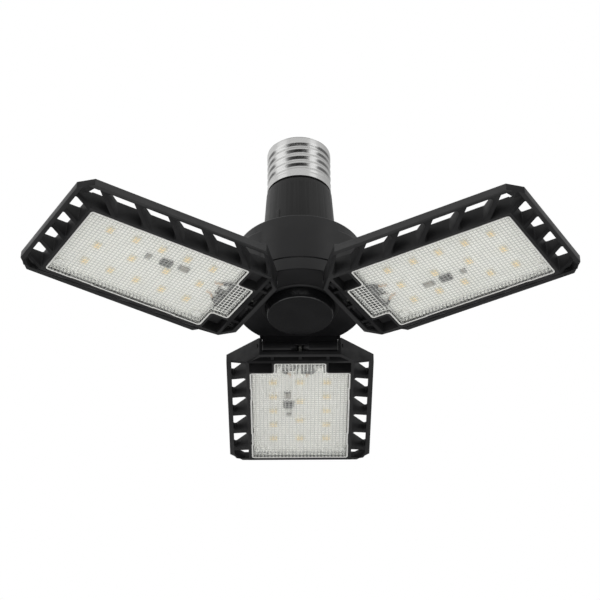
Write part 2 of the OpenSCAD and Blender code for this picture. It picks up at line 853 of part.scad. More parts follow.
// The regulator and the small parts beside it, between the middle and the outer row of LEDs
module board_parts() {
    chip_u = board_u0 + 0.415 * (board_u1 - board_u0);
    color("#26272b") {
        block(box_points(chip_u - 2.4, chip_u + 2.4, 2.9, 6.7), lens_top - 1.2, lens_top);
        block(box_points(chip_u - 9.4, chip_u - 5.8, 3.8, 6.4), lens_top - 0.9, lens_top);
        block(box_points(chip_u + 6.8, chip_u + 8.4, 4.0, 5.0), lens_top - 0.6, lens_top);
    }
}

module board_screws() {
    color("silver")
        board_screw_places()
            translate([0, 0, lens_top - 1]) {
                cylinder(h = 1, r = 2, $fn = 32);
                cylinder(h = 1 + board_h + 1, r = board_screw_r, $fn = 32);
            }
}

// Stretch of the lead from the hinge axis to its two soldered ends on the board
module lead() {
    sleeve_end = tab_u + 3.2;
    core_z = lens_top - core_r - 0.1;
    flat = 0.8 * core_r;
    fall = hinge_z - core_z;
    run = board_u0 - 0.8 - sleeve_end;
    color("#d8d8d0") {
        translate([hinge_u, 0, hinge_z])
            sphere(r = wire_r, $fn = 32);
        translate([hinge_u, 0, hinge_z])
            rotate([0, 90, 0])
                cylinder(h = sleeve_end - hinge_u, r = wire_r, $fn = 32);
        translate([sleeve_end, 0, hinge_z])
            sphere(r = wire_r, $fn = 32);
        for (v = [-core_v, core_v]) {
            translate([sleeve_end, 0, hinge_z])
                rotate([0, 0, atan2(v, run)])
                    rotate([0, 90 + atan2(fall, norm([run, v])), 0])
                        cylinder(h = norm([run, v, fall]), r = core_r, $fn = 32);
            translate([sleeve_end + run, v, core_z])
                sphere(r = core_r, $fn = 32);
            block(box_points(sleeve_end + run, board_u0 + 3.6, v - flat, v + flat), core_z - flat, lens_top);
        }
    }
}

module hinge_pins() {
    color("silver")
        each_side()
            bar_v(hinge_u, hinge_z, pin_r, cone_end + 0.6, hinge_half);
}

module hinge_washers() {
    color("silver")
        each_side()
            difference() {
                bar_v(hinge_u, hinge_z, knuckle_r + 0.1, knuckle_v, cheek_v);
                bar_v(hinge_u, hinge_z, pin_r + 0.08, knuckle_v - 1, cheek_v + 1);
            }
}

// ---- nodes ---------------------------------------------------------------------------------

screw_shell();
base_insulator();
centre_contact();
neck_collar();
neck_screws();
hub_housing();
hub_base();
hub_screws();
hub_cap();
driver_board();
driver_parts();
base_leads();
hub_leads();
place_panel(back_az, back_tilt) frame();  // back_frame
place_panel(back_az, back_tilt) lens();  // back_lens
place_panel(back_az, back_tilt) led_board();  // back_led_board
place_panel(back_az, back_tilt) leds();  // back_leds
place_panel(back_az, back_tilt) board_parts();  // back_board_parts
place_panel(back_az, back_tilt) board_screws();  // back_board_screws
place_panel(back_az, back_tilt) lead();  // back_lead
place_panel(back_az, back_tilt) hinge_pins();  // back_hinge_pins
place_panel(back_az, back_tilt) hinge_washers();  // back_hinge_washers
place_panel(left_az, left_tilt) frame();  // left_frame
place_panel(left_az, left_tilt) lens();  // left_lens
place_panel(left_az, left_tilt) led_board();  // left_led_board
place_panel(left_az, left_tilt) leds();  // left_leds
place_panel(left_az, left_tilt) board_parts();  // left_board_parts
place_panel(left_az, left_tilt) board_screws();  // left_board_screws
place_panel(left_az, left_tilt) lead();  // left_lead
place_panel(left_az, left_tilt) hinge_pins();  // left_hinge_pins
place_panel(left_az, left_tilt) hinge_washers();  // left_hinge_washers
place_panel(right_az, right_tilt) frame();  // right_frame
place_panel(right_az, right_tilt) lens();  // right_lens
place_panel(right_az, right_tilt) led_board();  // right_led_board
place_panel(right_az, right_tilt) leds();  // right_leds
place_panel(right_az, right_tilt) board_parts();  // right_board_parts
place_panel(right_az, right_tilt) board_screws();  // right_board_screws
place_panel(right_az, right_tilt) lead();  // right_lead
place_panel(right_az, right_tilt) hinge_pins();  // right_hinge_pins
place_panel(right_az, right_tilt) hinge_washers();  // right_hinge_washers
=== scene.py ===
import math

import bpy
from mathutils import Matrix, Vector


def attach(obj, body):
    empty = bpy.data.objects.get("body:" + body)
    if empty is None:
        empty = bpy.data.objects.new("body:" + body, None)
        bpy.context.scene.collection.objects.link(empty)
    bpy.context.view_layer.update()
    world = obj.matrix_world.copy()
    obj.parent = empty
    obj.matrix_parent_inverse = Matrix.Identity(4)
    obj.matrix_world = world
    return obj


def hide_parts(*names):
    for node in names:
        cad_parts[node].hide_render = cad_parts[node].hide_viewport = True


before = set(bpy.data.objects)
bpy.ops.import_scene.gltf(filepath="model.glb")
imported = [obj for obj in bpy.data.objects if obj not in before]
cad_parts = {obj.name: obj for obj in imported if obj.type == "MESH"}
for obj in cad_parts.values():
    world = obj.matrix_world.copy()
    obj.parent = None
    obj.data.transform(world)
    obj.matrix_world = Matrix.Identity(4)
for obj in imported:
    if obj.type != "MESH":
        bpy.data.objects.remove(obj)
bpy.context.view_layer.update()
print("frame loaded:", len(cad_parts), "nodes")

mm = 0.001
scene = bpy.context.scene
scene.view_settings.view_transform = "Standard"

# where each panel hangs: direction round the hub and angle above level, in degrees
panels = {
    "back": {"azimuth": 90, "tilt": 2.0},
    "left": {"azimuth": 210, "tilt": 2.8},
    "right": {"azimuth": 330, "tilt": 0.6},
}
hinge = {"u": 21.8 * mm, "z": -61.75 * mm}

# heights and lengths of a level panel, along u away from the hub and v across
panel = {
    "trayBottom": -66.35 * mm, "boardFace": -62.25 * mm, "plateTop": -64.35 * mm, "lensFace": -66.15 * mm,
    "lensStart": 34.2 * mm, "lensEnd": 102.35 * mm, "lensHalf": 20.65 * mm,
    "tabStart": 26.9 * mm, "tabHalf": 10.65 * mm,
    "ledFirst": 45.45 * mm, "ledLast": 90.1 * mm, "ledRow": 11.1 * mm,
}


# camera, light and backdrop

photoView = {
    "distance": 1.000025, "below": 35.924, "focalPixels": 2500.197, "roll": -0.491, "turn": 0.368,
    "middle": (300.153, 307.12), "aimHeight": -0.05693, "nudge": (0.000028, 0.000246, -0.000131),
    "pixels": 600, "sensor": 36,
}


def makeCamera(look):
    below, turn, roll = (math.radians(look[k]) for k in ("below", "turn", "roll"))
    data = bpy.data.cameras.new("photoCamera")
    camera = bpy.data.objects.new("photoCamera", data)
    scene.collection.objects.link(camera)
    pixels = look["pixels"]
    data.sensor_width = look["sensor"]
    data.lens = look["focalPixels"] * look["sensor"] / pixels
    data.shift_x = (pixels / 2 - look["middle"][0]) / pixels
    data.shift_y = (look["middle"][1] - pixels / 2) / pixels
    place = Vector((0, -look["distance"] * math.cos(below), -look["distance"] * math.sin(below)))
    ahead = (-place).normalized()
    right = Vector((1, 0, 0))
    up = right.cross(ahead)
    rolledRight = math.cos(roll) * right + math.sin(roll) * up
    rolledUp = math.cos(roll) * up - math.sin(roll) * right
    facing = Matrix((rolledRight, rolledUp, -ahead)).transposed().to_4x4()
    stand = Matrix.Translation(place + Vector((0, 0, look["aimHeight"])))
    camera.matrix_world = Matrix.Translation(look["nudge"]) @ Matrix.Rotation(-turn, 4, "Z") @ stand @ facing
    scene.camera = camera


def addLamp(name, make):
    data = bpy.data.lights.new(name, "AREA")
    data.shape = "RECTANGLE"
    data.size, data.size_y = make["size"]
    data.energy = make["power"]
    lamp = bpy.data.objects.new(name, data)
    scene.collection.objects.link(lamp)
    lamp.location = make["place"]
    lamp.rotation_euler = (Vector(make["aim"]) - lamp.location).to_track_quat("-Z", "Y").to_euler()
    lamp.visible_glossy = False


studio = {
    "roomLight": 0.5,            # strength of the world on matt surfaces
    "below": 0.12,               # strength of the world in reflections: under the horizon,
    "front": 0.62,               # above it on the camera's side,
    "behind": (0.68, 0.46),      # and above it on the far side, left and right
    "horizon": (-0.12, 0.2),     # these three change over within such spans of height,
    "sideways": (-0.6, 0.6),     # of left and right,
    "depthways": (-0.4, 0.5),    # and of front and back
    "camera": (0, -0.81, -0.587),
    "cameraShade": 0.12,         # what is left of the world in the dark corner behind the camera
    "cameraCorner": (0.80, 0.97),
    "leftBank": (-63, 22),       # two tall light banks: direction and half width in degrees
    "rightBank": (52, 15),
    "bankSides": (0.7, 1.3),     # how they fade at the sides, in half widths
    "bankEnds": (0.6, 0.8),      # and at the top and bottom
    "lowPatch": (0, -0.42, -0.907),
    "lowPatchEdge": (0.93, 0.97),
    "lowPatchLight": 0.9,        # strength of this light patch below and in front, which edges catch
    "floorHeight": -1.45,
    "floorRadius": 1.5,
    "floorFade": (0.5, 1.4),     # the floor turns into the white backdrop between these distances
}

lamps = {
    "leftLamp": {"place": (-1.1, -0.75, -0.1), "aim": (0, 0, -0.05), "size": (0.5, 1.1), "power": 5},
    "rightLamp": {"place": (1.1, -0.75, -0.1), "aim": (0, 0, -0.05), "size": (0.5, 1.1), "power": 4},
    "topLamp": {"place": (0, 0.1, 1.3), "aim": (0, 0, 0), "size": (1.2, 1.2), "power": 7},
    "lowLamp": {"place": (0, -0.45, -1.25), "aim": (0, 0, -0.05), "size": (1.1, 0.8), "power": 5.5},
}


def addRamp(tree, value, low, high, fromLow=0.3, fromHigh=0.7, kind="LINEAR"):
    ramp = tree.nodes.new("ShaderNodeMapRange")
    ramp.interpolation_type = kind
    for key, number in zip(("From Min", "From Max", "To Min", "To Max"), (fromLow, fromHigh, low, high)):
        ramp.inputs[key].default_value = number
    tree.links.new(value, ramp.inputs["Value"])
    return ramp.outputs["Result"]


def blend(tree, value, span, low, high):
    return addRamp(tree, value, low, high, *span, "SMOOTHSTEP")


def addMath(tree, kind, *values):
    node = tree.nodes.new("ShaderNodeMath")
    node.operation = kind
    for socket, value in zip(node.inputs, values):
        if isinstance(value, (int, float)):
            socket.default_value = value
        else:
            tree.links.new(value, socket)
    return node.outputs[0]


def mixShaders(tree, share, first, second):
    mix = tree.nodes.new("ShaderNodeMixShader")
    for socket, value in zip(mix.inputs, (share, first, second)):
        tree.links.new(value, socket)
    return mix.outputs[0]


def makeWorld(make):
    world = bpy.data.worlds.new("studioWorld")
    scene.world = world
    world.use_nodes = True
    tree = world.node_tree
    nodes, links = tree.nodes, tree.links
    nodes.clear()
    out = nodes.new("ShaderNodeOutputWorld")
    path = nodes.new("ShaderNodeLightPath")
    where = nodes.new("ShaderNodeTexCoord").outputs["Generated"]
    split = nodes.new("ShaderNodeSeparateXYZ")
    links.new(where, split.inputs[0])

    def towards(way):
        # how nearly a ray goes the given way
        dot = nodes.new("ShaderNodeVectorMath")
        dot.operation = "DOT_PRODUCT"
        dot.inputs[1].default_value = way
        links.new(where, dot.inputs[0])
        return dot.outputs["Value"]

    # what reflections see: a dim floor, a bright far side, two light banks, a dark corner at the camera
    x, y, z = split.outputs
    above = blend(tree, z, make["horizon"], 0, 1)
    far = blend(tree, x, make["sideways"], *make["behind"])
    extra = addMath(tree, "SUBTRACT", far, make["front"])
    upper = addMath(tree, "MULTIPLY_ADD", blend(tree, y, make["depthways"], 0, 1), extra, make["front"])
    brighter = addMath(tree, "SUBTRACT", upper, make["below"])
    level = addMath(tree, "MULTIPLY_ADD", above, brighter, make["below"])
    corner = blend(tree, towards(make["camera"]), make["cameraCorner"], 1, make["cameraShade"])
    level = addMath(tree, "MULTIPLY", level, corner)
    around = addMath(tree, "ARCTAN2", x, addMath(tree, "MULTIPLY", y, -1))
    ends = blend(tree, addMath(tree, "ABSOLUTE", z), make["bankEnds"], 1, 0)
    for bank in ("leftBank", "rightBank"):
        middle, half = (math.radians(v) for v in make[bank])
        off = addMath(tree, "ABSOLUTE", addMath(tree, "SUBTRACT", around, middle))
        sides = blend(tree, off, [half * v for v in make["bankSides"]], 1, 0)
        level = addMath(tree, "MAXIMUM", level, addMath(tree, "MULTIPLY", sides, ends))
    patch = blend(tree, towards(make["lowPatch"]), make["lowPatchEdge"], 0, make["lowPatchLight"])
    level = addMath(tree, "MAXIMUM", level, patch)
    room, shine, seen = (nodes.new("ShaderNodeBackground") for _ in range(3))
    for plain in (room, shine, seen):
        plain.inputs["Color"].default_value = (1, 1, 1, 1)
    room.inputs["Strength"].default_value = make["roomLight"]
    links.new(level, shine.inputs["Strength"])
    seen.inputs["Strength"].default_value = 1
    unseen = mixShaders(tree, path.outputs["Is Glossy Ray"], room.outputs[0], shine.outputs[0])
    direct = addMath(tree, "MAXIMUM", path.outputs["Is Camera Ray"], path.outputs["Is Transmission Ray"])
    links.new(mixShaders(tree, direct, unseen, seen.outputs[0]), out.inputs["Surface"])


def makeFloor(make):
    # pale floor that fades into the white backdrop
    bpy.ops.mesh.primitive_circle_add(vertices=64, radius=make["floorRadius"], fill_type="NGON",
                                      location=(0, 0, make["floorHeight"]))
    floor = bpy.context.object
    floor.name = "studioFloor"
    pale = bpy.data.materials.new("paleFloor")
    pale.use_nodes = True
    tree = pale.node_tree
    shader = tree.nodes["Principled BSDF"]
    shader.inputs["Base Color"].default_value = (0.86, 0.86, 0.86, 1)
    shader.inputs["Roughness"].default_value = 0.8
    place = tree.nodes.new("ShaderNodeTexCoord")
    reach = tree.nodes.new("ShaderNodeVectorMath")
    reach.operation = "LENGTH"
    tree.links.new(place.outputs["Object"], reach.inputs[0])
    gone = tree.nodes.new("ShaderNodeBsdfTransparent")
    share = blend(tree, reach.outputs["Value"], make["floorFade"], 0, 1)
    faded = mixShaders(tree, share, shader.outputs[0], gone.outputs[0])
    tree.links.new(faded, tree.nodes["Material Output"].inputs["Surface"])
    floor.data.materials.append(pale)


makeCamera(photoView)
makeWorld(studio)
makeFloor(studio)
for name, lamp in lamps.items():
    addLamp(name, lamp)
print("camera and studio ready")


# finishes

def newFinish(name):
    finish = bpy.data.materials.new(name)
    finish.use_nodes = True
    tree = finish.node_tree
    shader = tree.nodes["Principled BSDF"]
    where = tree.nodes.new("ShaderNodeTexCoord")
    return finish, tree, shader, where.outputs["Object"]


def addNoise(tree, where, size, detail, roughness=0.5):
    noise = tree.nodes.new("ShaderNodeTexNoise")
    noise.inputs["Scale"].default_value = 1 / size
    noise.inputs["Detail"].default_value = detail
    noise.inputs["Roughness"].default_value = roughness
    tree.links.new(where, noise.inputs["Vector"])
    return noise.outputs["Fac"]


def addTint(tree, value, first, second, fromLow=0.3, fromHigh=0.7):
    tint = tree.nodes.new("ShaderNodeValToRGB")
    tint.color_ramp.elements[0].position = fromLow
    tint.color_ramp.elements[1].position = fromHigh
    tint.color_ramp.elements[0].color = (*first, 1)
    tint.color_ramp.elements[1].color = (*second, 1)
    tree.links.new(value, tint.inputs["Fac"])
    return tint.outputs["Color"]


def addBump(tree, shader, height, depth, strength):
    bump = tree.nodes.new("ShaderNodeBump")
    bump.inputs["Strength"].default_value = strength
    bump.inputs["Distance"].default_value = depth
    tree.links.new(height, bump.inputs["Height"])
    tree.links.new(bump.outputs["Normal"], shader.inputs["Normal"])


# In these recipes, dark and pale are the two colours of a cloudy surface, and rough is the range of
# its roughness.

def blackPlastic(name, dark, pale, rough, grain=0.16 * mm, grainDepth=0.005 * mm, shine=0.45):
    finish, tree, shader, where = newFinish(name)
    cloud = addNoise(tree, where, 9 * mm, 4)
    tree.links.new(addTint(tree, cloud, dark, pale), shader.inputs["Base Color"])
    fine = addNoise(tree, where, grain, 2)
    smudge = addNoise(tree, where, 5 * mm, 5, 0.6)
    tree.links.new(addRamp(tree, smudge, rough[0], rough[1]), shader.inputs["Roughness"])
    shader.inputs["Specular IOR Level"].default_value = shine
    addBump(tree, shader, fine, grainDepth, 0.6)
    return finish


def metal(name, dark, pale, rough, streak=(1, 1, 1)):
    finish, tree, shader, where = newFinish(name)
    shader.inputs["Metallic"].default_value = 1
    stretch = tree.nodes.new("ShaderNodeMapping")
    stretch.inputs["Scale"].default_value = streak
    tree.links.new(where, stretch.inputs["Vector"])
    cloud = addNoise(tree, stretch.outputs[0], 1.2 * mm, 4)
    tree.links.new(addTint(tree, cloud, dark, pale), shader.inputs["Base Color"])
    tree.links.new(addRamp(tree, cloud, rough[0], rough[1]), shader.inputs["Roughness"])
    addBump(tree, shader, cloud, 0.004 * mm, 0.3)
    return finish


def addLines(tree, axes, full, gone):
    # 1 on the lines of the plan's grid, 0 in the middle of its cells
    plan = tree.nodes.new("ShaderNodeUVMap")
    plan.uv_map = "plan"
    parts = tree.nodes.new("ShaderNodeSeparateXYZ")
    tree.links.new(plan.outputs[0], parts.inputs[0])
    lines = []
    for axis in axes:
        wave = addMath(tree, "PINGPONG", parts.outputs[axis], 0.5)
        lines.append(blend(tree, wave, (full, gone), 1, 0))
    return lines[0] if len(lines) == 1 else addMath(tree, "MAXIMUM", *lines)


def clearPlastic(name, valleyShadeShare, shade):
    # the first number is how much of the lens the grey valley lines cover, the second how white they are;
    # these lines are painted shade for the light the valleys lose, and on the tab they are whiter, painted
    # light
    finish, tree, shader, where = newFinish(name)
    haze = addNoise(tree, where, 6 * mm, 3)
    tint = addTint(tree, haze, (0.955, 0.965, 0.96), (0.985, 0.99, 0.985))
    tree.links.new(tint, shader.inputs["Base Color"])
    tree.links.new(addRamp(tree, haze, 0.05, 0.09), shader.inputs["Roughness"])
    shader.inputs["IOR"].default_value = 1.49
    shader.inputs["Transmission Weight"].default_value = 1
    # the painted valley lines follow the plan of the panel
    lines = addLines(tree, ("X", "Y"), 0.05, 0.18)
    paintedValleyShade = tree.nodes.new("ShaderNodeBsdfDiffuse")
    paintedValleyShade.inputs["Color"].default_value = (shade, shade, shade * 0.96, 1)
    withPaintedValleys = mixShaders(tree, addMath(tree, "MULTIPLY", lines, valleyShadeShare), shader.outputs[0], paintedValleyShade.outputs[0])
    path = tree.nodes.new("ShaderNodeLightPath")
    through = tree.nodes.new("ShaderNodeBsdfTransparent")
    through.inputs["Color"].default_value = (0.86, 0.87, 0.86, 1)
    mix = mixShaders(tree, path.outputs["Is Shadow Ray"], withPaintedValleys, through.outputs[0])
    tree.links.new(mix, tree.nodes["Material Output"].inputs["Surface"])
    return finish


def frostedPlastic(name):
    finish, tree, shader, where = newFinish(name)
    haze = addNoise(tree, where, 0.8 * mm, 3)
    # dark strokes across the skirt, one to a prism, are painted shade; the pale frosted white between them
    # is the skirt's own colour
    paintedShadeStrokes = addTint(tree, addLines(tree, ("X",), 0.14, 0.28), (0.84, 0.84, 0.81), (0.32, 0.32, 0.32), 0, 1)
    tree.links.new(paintedShadeStrokes, shader.inputs["Base Color"])
    tree.links.new(addRamp(tree, haze, 0.3, 0.5), shader.inputs["Roughness"])
    shader.inputs["IOR"].default_value = 1.49
    addBump(tree, shader, addNoise(tree, where, 0.2 * mm, 2), 0.008 * mm, 0.5)
    return finish


def paleRim(name):
    finish, tree, shader, where = newFinish(name)
    haze = addNoise(tree, where, 0.8 * mm, 3)
    tree.links.new(addTint(tree, haze, (0.66, 0.66, 0.63), (0.80, 0.80, 0.77)), shader.inputs["Base Color"])
    tree.links.new(addRamp(tree, haze, 0.25, 0.4), shader.inputs["Roughness"])
    addBump(tree, shader, addNoise(tree, where, 0.2 * mm, 2), 0.006 * mm, 0.5)
    return finish


def whiteBoard(name):
    finish, tree, shader, where = newFinish(name)
    cloud = addNoise(tree, where, 4 * mm, 4)
    tree.links.new(addTint(tree, cloud, (0.82, 0.81, 0.77), (0.87, 0.86, 0.83)), shader.inputs["Base Color"])
    tree.links.new(addRamp(tree, cloud, 0.35, 0.5), shader.inputs["Roughness"])
    addBump(tree, shader, addNoise(tree, where, 0.5 * mm, 2), 0.01 * mm, 0.4)
    return finish


def matt(name, dark, pale, rough, size, depth):
    finish, tree, shader, where = newFinish(name)
    cloud = addNoise(tree, where, size, 4)
    tree.links.new(addTint(tree, cloud, dark, pale), shader.inputs["Base Color"])
    tree.links.new(addRamp(tree, cloud, rough[0], rough[1]), shader.inputs["Roughness"])
    addBump(tree, shader, cloud, depth, 0.4)
    return finish


finishes = {
    "frame": blackPlastic("frameBlack", (0.018, 0.018, 0.0185), (0.025, 0.025, 0.0255), (0.28, 0.46)),
    # the inner finish is darker than the frame's black: painted shade for the bays and the hinge end
    "inner": blackPlastic("frameInner", (0.006, 0.006, 0.0065), (0.018, 0.018, 0.0185), (0.38, 0.60),
                          shine=0.26),
    "hub": blackPlastic("hubBlack", (0.005, 0.005, 0.0055), (0.008, 0.008, 0.0085), (0.30, 0.42)),
    "neck": blackPlastic("neckBlack", (0.010, 0.010, 0.010), (0.012, 0.012, 0.012), (0.34, 0.40),
                         shine=0.36),
    "cap": blackPlastic("capBlack", (0.006, 0.006, 0.0065), (0.009, 0.009, 0.0095), (0.20, 0.27),
                        0.3 * mm, 0.0005 * mm),
    # the cap's rounded edge: glossier, with a paler black that is a painted highlight
    "capEdgePaintedHighlight": blackPlastic("capEdgePaintedHighlight", (0.012, 0.012, 0.0125), (0.018, 0.018, 0.0185), (0.10, 0.16),
                            0.3 * mm, 0.0005 * mm, 1.0),
    "nickel": metal("nickelShell", (0.72, 0.72, 0.71), (0.84, 0.84, 0.83), (0.18, 0.28), (1, 1, 14)),
    "insulator": blackPlastic("insulatorBlack", (0.012, 0.012, 0.016), (0.022, 0.020, 0.028), (0.12, 0.2),
                              0.6 * mm, 0.002 * mm, 0.5),
    "contact": metal("contactTin", (0.50, 0.47, 0.42), (0.70, 0.67, 0.61), (0.28, 0.46)),
    "steel": metal("screwSteel", (0.50, 0.50, 0.50), (0.66, 0.66, 0.66), (0.24, 0.36)),
    # grey lines along the valleys are painted shade on the lens, and whiter painted light on the tab
    "lens": clearPlastic("clearLens", 0.65, 0.62),
    "tab": clearPlastic("lensTab", 0.92, 0.95),
    "skirt": frostedPlastic("lensSkirt"),
    "rim": paleRim("lensRim"),
    "board": whiteBoard("whiteMask"),
    "package": matt("packageWhite", (0.86, 0.80, 0.66), (0.90, 0.84, 0.70), (0.35, 0.5),
                    0.6 * mm, 0.004 * mm),
    "phosphor": matt("phosphorYellow", (0.86, 0.66, 0.36), (0.92, 0.74, 0.44), (0.30, 0.42),
                     0.25 * mm, 0.004 * mm),
    "chip": matt("chipBlack", (0.012, 0.012, 0.013), (0.028, 0.028, 0.030), (0.42, 0.6),
                 0.3 * mm, 0.006 * mm),
    "tin": matt("tinnedLegs", (0.10, 0.10, 0.10), (0.20, 0.20, 0.20), (0.3, 0.5), 0.5 * mm, 0.004 * mm),
    "nylon": matt("whiteNylon", (0.80, 0.79, 0.76), (0.86, 0.85, 0.82), (0.35, 0.5), 0.8 * mm, 0.004 * mm),
    "washer": matt("darkWasher", (0.03, 0.03, 0.03), (0.05, 0.05, 0.05), (0.3, 0.5), 0.8 * mm, 0.004 * mm),
    "copper": matt("bareWire", (0.55, 0.38, 0.25), (0.70, 0.52, 0.38), (0.3, 0.45), 0.5 * mm, 0.004 * mm),
    "greyPart": matt("partGrey", (0.22, 0.20, 0.17), (0.34, 0.31, 0.27), (0.4, 0.6), 0.4 * mm, 0.006 * mm),
    "greenBoard": matt("greenMask", (0.012, 0.075, 0.028), (0.020, 0.11, 0.045), (0.3, 0.45),
                       3 * mm, 0.006 * mm),
    # the sleeves of the leads are darkened to a dark grey: painted shade
    "paintedShadeSleeve": matt("leadSleeve", (0.07, 0.07, 0.065), (0.11, 0.11, 0.10), (0.45, 0.6),
                   1.2 * mm, 0.008 * mm),
    "driver": matt("driverParts", (0.02, 0.02, 0.024), (0.06, 0.05, 0.045), (0.35, 0.6),
                   5 * mm, 0.006 * mm),
}

nodeFinishes = {
    "screw_shell": "nickel", "base_insulator": "insulator", "centre_contact": "contact",
    "neck_collar": "neck", "neck_screws": "steel", "hub_housing": "hub", "hub_base": "hub",
    "hub_screws": "steel", "hub_cap": "cap", "driver_board": "greenBoard", "driver_parts": "driver",
    "base_leads": "paintedShadeSleeve", "hub_leads": "paintedShadeSleeve",
}
for side in panels:
    nodeFinishes.update({
        side + "_frame": "frame", side + "_lens": "lens", side + "_led_board": "board",
        side + "_leds": "phosphor", side + "_board_parts": "chip", side + "_board_screws": "nylon",
        side + "_lead": "paintedShadeSleeve", side + "_hinge_pins": "steel", side + "_hinge_washers": "washer",
    })


def dress(piece, finish):
    piece.data.materials.clear()
    piece.data.materials.append(finishes[finish])


for node, finish in nodeFinishes.items():
    dress(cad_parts[node], finish)
print("finishes on the carried-over nodes")


# modelling helpers

mergeReach = 0.002 * mm    # points closer than this are one
flatAngle = 0.6            # faces turned less than this from one another, in degrees, are one
softAngle = 28             # edges that turn more than this, in degrees, are softened


def takeUp(piece):
    # selects the piece and nothing else
    if bpy.context.object and bpy.context.object.mode != "OBJECT":
        bpy.ops.object.mode_set(mode="OBJECT")
    bpy.ops.object.select_all(action="DESELECT")
    piece.select_set(True)
    bpy.context.view_layer.objects.active = piece


def copyOf(piece, name):
    twin = piece.copy()
    twin.data = piece.data.copy()
    twin.name = twin.data.name = name
    for key in list(twin.keys()):
        if key.startswith("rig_"):
            del twin[key]
    twin.parent = None
    twin.hide_render = twin.hide_viewport = False
    scene.collection.objects.link(twin)
    return twin


def settle(piece):
    takeUp(piece)
    bpy.ops.object.transform_apply(location=True, rotation=True, scale=True)


def applyModifier(piece, kind, **settings):
    takeUp(piece)
    modifier = piece.modifiers.new(kind.lower(), kind)
    for key, value in settings.items():
        setattr(modifier, key, value)
    bpy.ops.object.modifier_apply(modifier=modifier.name)


def pickFaces(piece, test):
    # leaves edit mode on, with the faces that pass the test selected
    takeUp(piece)
    bpy.ops.object.mode_set(mode="EDIT")
    bpy.ops.mesh.select_mode(type="FACE")
    bpy.ops.mesh.select_all(action="DESELECT")
    bpy.ops.object.mode_set(mode="OBJECT")
    for face in piece.data.polygons:
        face.select = bool(test(face.center, face.normal))
    bpy.ops.object.mode_set(mode="EDIT")


def leaveEdit():
    bpy.ops.object.mode_set(mode="OBJECT")


def mergeLevel(piece):
    # joins points that coincide and faces that lie level with one another
    takeUp(piece)
    bpy.ops.object.mode_set(mode="EDIT")
    bpy.ops.mesh.select_all(action="SELECT")
    bpy.ops.mesh.remove_doubles(threshold=mergeReach)
    bpy.ops.mesh.dissolve_limited(angle_limit=math.radians(flatAngle))
    leaveEdit()


def faceOutwards(piece, merge=0):
    # turns all faces outwards, after points closer than merge are joined
    takeUp(piece)
    bpy.ops.object.mode_set(mode="EDIT")
    bpy.ops.mesh.select_all(action="SELECT")
    if merge:
        bpy.ops.mesh.remove_doubles(threshold=merge)
        bpy.ops.mesh.select_all(action="SELECT")
    bpy.ops.mesh.normals_make_consistent(inside=False)
    leaveEdit()


def softenEdges(piece, width, segments):
    applyModifier(piece, "BEVEL", width=width, segments=segments, limit_method="ANGLE",
                  angle_limit=math.radians(softAngle), use_clamp_overlap=True, harden_normals=False)


def panelTurn(side):
    place = panels[side]
    swing = Matrix.Rotation(-math.radians(place["tilt"]), 4, "Y")
    axis = Matrix.Translation((hinge["u"], 0, hinge["z"]))
    return Matrix.Rotation(math.radians(place["azimuth"]), 4, "Z") @ axis @ swing @ axis.inverted()


def levelCopy(node, name):
    # a merged copy of a node of the back panel, turned level along +X
    piece = copyOf(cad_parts[node], name)
    piece.matrix_world = panelTurn("back").inverted()
    settle(piece)
    mergeLevel(piece)
    return piece


def hangOn(master, side, name, node, finish=None):
    # copy of a level piece, hung in the place of one panel
    piece = copyOf(master, side + name)
    piece.matrix_world = panelTurn(side)
    settle(piece)
    if finish:
        dress(piece, finish)
    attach(piece, side + "_panel")
    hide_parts(side + "_" + node)


def drop(piece):
    bpy.data.objects.remove(piece)


def cutAway(piece, cutter):
    applyModifier(piece, "BOOLEAN", object=cutter, operation="DIFFERENCE", solver="EXACT")
    drop(cutter)


def join(pieces, name):
    takeUp(pieces[0])
    for piece in pieces:
        piece.select_set(True)
    bpy.ops.object.join()
    pieces[0].name = pieces[0].data.name = name
    return pieces[0]


def smooth(piece, angle=35):
    takeUp(piece)
    bpy.ops.object.shade_smooth_by_angle(angle=math.radians(angle))


def addTube(radius, points):
    # closed round wire through the points
    bpy.ops.curve.primitive_nurbs_path_add()
    wire = bpy.context.object
    line = wire.data.splines[0]
    line.points.add(len(points) - len(line.points))
    for place, point in zip(line.points, points):
        place.co = (*point, 1)
    line.use_endpoint_u = True
    line.order_u = 3
    line.resolution_u = 4
    wire.data.bevel_depth = radius
    wire.data.bevel_resolution = 3
    wire.data.use_fill_caps = True
    takeUp(wire)
    bpy.ops.object.convert(target="MESH")
    settle(wire)
    faceOutwards(wire, mergeReach)
    return wire


def addBlock(name, low, high, finish, bevel):
    bpy.ops.mesh.primitive_cube_add(size=1)
    block = bpy.context.object
    block.name = name
    block.scale = [b - a for a, b in zip(low, high)]
    block.location = [(a + b) / 2 for a, b in zip(low, high)]
    settle(block)
    if bevel:
        applyModifier(block, "BEVEL", width=bevel, segments=2)
    dress(block, finish)
    return block


# prismatic lens

past = 1 * mm         # how far a cutter reaches past what it cuts
near = 0.01 * mm      # places closer than this are the same
straight = 0.99       # a face looks straight up or down if its normal's height is more than this
sloping = 0.5         # and it is a wall if that is less than this

prisms = {
    "pitch": 1.53 * mm, "depth": 0.07 * mm, "sink": 0.02 * mm, "clear": 1.1 * mm,
    "endGap": 0.1 * mm, "slab": 0.7 * mm,
}
# windows of the skirt in which the hooks of the tray hold the lens
hooks = {
    "places": (50.7 * mm, 86.7 * mm), "length": 8.6 * mm, "bottom": -64.4 * mm, "top": -63.1 * mm,
    "notch": 0.22 * mm, "inset": 1.0 * mm, "wall": 0.3 * mm,
}
lensRim = 0.65 * mm


def hookBlocks(name, inner, outer, bottom, top):
    # a block at each hook, between two distances from the middle line of the lens
    half = hooks["length"] / 2
    for u in hooks["places"]:
        for way in (-1, 1):
            low, high = sorted((way * inner, way * outer))
            yield addBlock(name, (u - half, low, bottom), (u + half, high, top), "lens", 0)


